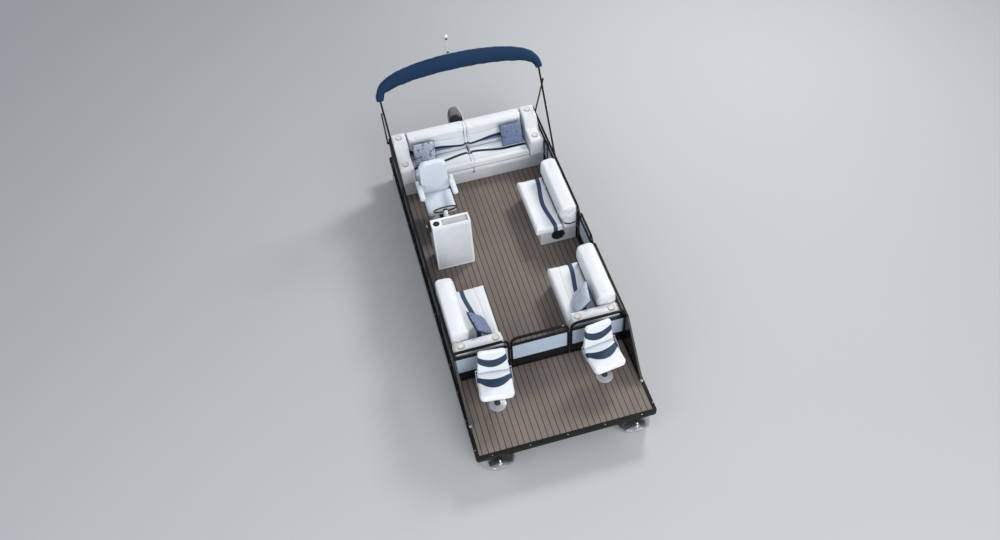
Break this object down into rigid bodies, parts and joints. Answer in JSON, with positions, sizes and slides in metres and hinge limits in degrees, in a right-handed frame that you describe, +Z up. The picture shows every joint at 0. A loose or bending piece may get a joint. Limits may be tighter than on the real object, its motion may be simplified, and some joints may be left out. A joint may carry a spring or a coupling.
{
  "type": "pontoon boat",
  "caption": "Twin-tube pontoon boat with fenced deck, couches, helm console, swivel chairs, stowed canopy and a tilting outboard.",
  "frame": {"origin": "on the centreline at the waterline, 2.95 m aft of the deck's bow edge", "axes": "+X to the bow, +Y to port, +Z up"},
  "size_m": [6.711, 2.704, 3.5074],
  "materials": {
    "hull_aluminium": "mill aluminium, lightly brushed",
    "frame_aluminium": "mill aluminium",
    "deck_teak": "woven vinyl with a plank pattern",
    "trim_black": "satin black",
    "bolt_bright": "polished",
    "rail_black": "black powder coat",
    "panel_white": "white enamelled sheet",
    "panel_black": "black enamelled sheet",
    "base_white": "moulded white plastic",
    "vinyl_white": "white marine vinyl",
    "speaker_black": "black grille",
    "console_white": "white gelcoat",
    "wheel_black": "black grip",
    "gauge_black": "black dial",
    "pedestal_metal": "brushed",
    "canopy_navy": "navy canvas",
    "light_white": "frosted globe",
    "motor_black": "black paint",
    "cowl_grey": "black and grey gloss",
    "prop_alu": "black painted aluminium",
    "pillow_grey": "woven grey-blue cloth"
  },
  "bodies": {
    "hull": {"pontoon_port": "hull_aluminium", "pontoon_starboard": "hull_aluminium", "crossmembers": "frame_aluminium", "motor_pod": "frame_aluminium", "deck": "deck_teak", "deck_trim": "trim_black", "trim_bolts": "bolt_bright", "rail_starboard": "rail_black", "rail_port": "rail_black", "rail_bow": "rail_black", "rail_stern": "rail_black", "panels_upper": "panel_white", "panels_lower": "panel_black", "bow_side_rails": "rail_black", "rail_feet": "bolt_bright", "couch_bases": "base_white", "couch_seats": "vinyl_white", "couch_backs": "vinyl_white", "couch_arms": "vinyl_white", "lounge_hinges": "pedestal_metal", "lounge_base": "base_white", "lounge_back": "vinyl_white", "lounge_speaker": "speaker_black", "bench_base": "base_white", "bench_seats": "vinyl_white", "bench_backs": "vinyl_white", "bench_arms": "vinyl_white", "console": "console_white", "gauges": "gauge_black", "throttle": "gauge_black", "helm_pedestal": "pedestal_metal", "fishing_pedestals": "pedestal_metal", "bimini_mounts": "rail_black", "outboard_clamp": "motor_black", "pillows": "pillow_grey"},
    "bow_gate": {"bow_gate_frame": "rail_black", "bow_gate_panels": "panel_white"},
    "side_gate": {"side_gate_frame": "rail_black", "side_gate_panels": "panel_white"},
    "helm_chair": {"helm_seat": "vinyl_white", "helm_back": "vinyl_white", "helm_arms": "vinyl_white"},
    "chair_port": {"fishing_seat_port": "vinyl_white", "fishing_hinges_port": "pedestal_metal"},
    "chair_starboard": {"fishing_seat_starboard": "vinyl_white", "fishing_hinges_starboard": "pedestal_metal"},
    "chair_back_port": {"fishing_back_port": "vinyl_white"},
    "chair_back_starboard": {"fishing_back_starboard": "vinyl_white"},
    "wheel": {"steering_wheel": "wheel_black"},
    "canopy": {"bimini_bow": "rail_black", "bimini_boot": "canopy_navy", "light_pole": "rail_black", "light_globe": "light_white"},
    "canopy_braces": {"bimini_braces": "rail_black"},
    "motor_tilt": {"outboard_swivel": "motor_black"},
    "motor": {"outboard_leg": "motor_black", "outboard_cowl": "cowl_grey"},
    "prop": {"propeller": "prop_alu"},
    "lounge_lid": {"lounge_seat": "vinyl_white"}
  },
  "joints": [
    {"name": "bow_gate_swing", "type": "hinge", "parent": "hull", "child": "bow_gate", "pos_m": [1.638, -0.44, 0.78], "axis": [0, 0, 1], "range_deg": [0, 90]},
    {"name": "side_gate_swing", "type": "hinge", "parent": "hull", "child": "side_gate", "pos_m": [0.292, 1.228, 0.78], "axis": [0, 0, 1], "range_deg": [0, 90]},
    {"name": "helm_chair_turn", "type": "hinge", "parent": "hull", "child": "helm_chair", "pos_m": [-1.425, -0.74, 0.88], "axis": [0, 0, 1], "continuous": true},
    {"name": "chair_port_turn", "type": "hinge", "parent": "hull", "child": "chair_port", "pos_m": [2.186, 0.79, 0.88], "axis": [0, 0, 1], "continuous": true},
    {"name": "chair_starboard_turn", "type": "hinge", "parent": "hull", "child": "chair_starboard", "pos_m": [2.186, -0.79, 0.88], "axis": [0, 0, 1], "continuous": true},
    {"name": "chair_back_port_fold", "type": "hinge", "parent": "chair_port", "child": "chair_back_port", "pos_m": [1.94779, 0.76075, 1.02], "axis": [-0.1219, 0.9925, 0], "range_deg": [0, 92]},
    {"name": "chair_back_starboard_fold", "type": "hinge", "parent": "chair_starboard", "child": "chair_back_starboard", "pos_m": [1.94779, -0.76075, 1.02], "axis": [0.1219, 0.9925, 0], "range_deg": [0, 92]},
    {"name": "outboard_tilt", "type": "hinge", "parent": "hull", "child": "motor_tilt", "pos_m": [-3.262, 0, 0.472], "axis": [0, 1, 0], "range_deg": [0, 60]},
    {"name": "outboard_steer", "type": "hinge", "parent": "motor_tilt", "child": "motor", "pos_m": [-3.335, 0, 0.3], "axis": [0, 0, 1], "range_deg": [-30, 30]},
    {"name": "propeller_spin", "type": "hinge", "parent": "motor", "child": "prop", "pos_m": [-3.591, 0, -0.395], "axis": [1, 0, 0], "continuous": true},
    {"name": "wheel_turn", "type": "hinge", "parent": "hull", "child": "wheel", "pos_m": [-0.885, -0.737, 1.31], "axis": [-0.848, 0, 0.5299], "range_deg": [-540, 540]},
    {"name": "canopy_lower", "type": "hinge", "parent": "hull", "child": "canopy", "pos_m": [-1.61, 0, 1.215], "axis": [0, -1, 0], "range_deg": [0, 37]},
    {"name": "brace_fold", "type": "hinge", "parent": "canopy", "child": "canopy_braces", "pos_m": [-2.4284, 0, 2.09262], "axis": [0, -1, 0], "range_deg": [0, 70]},
    {"name": "lounge_lid_lift", "type": "hinge", "parent": "hull", "child": "lounge_lid", "pos_m": [-0.93, 0.985, 0.919], "axis": [-1, 0, 0], "range_deg": [0, 74]}
  ],
  "couplings": [
    {"joint": "wheel_turn", "follows": "outboard_steer", "ratio": -18},
    {"joint": "brace_fold", "follows": "canopy_lower", "ratio": 1.78}
  ]
}
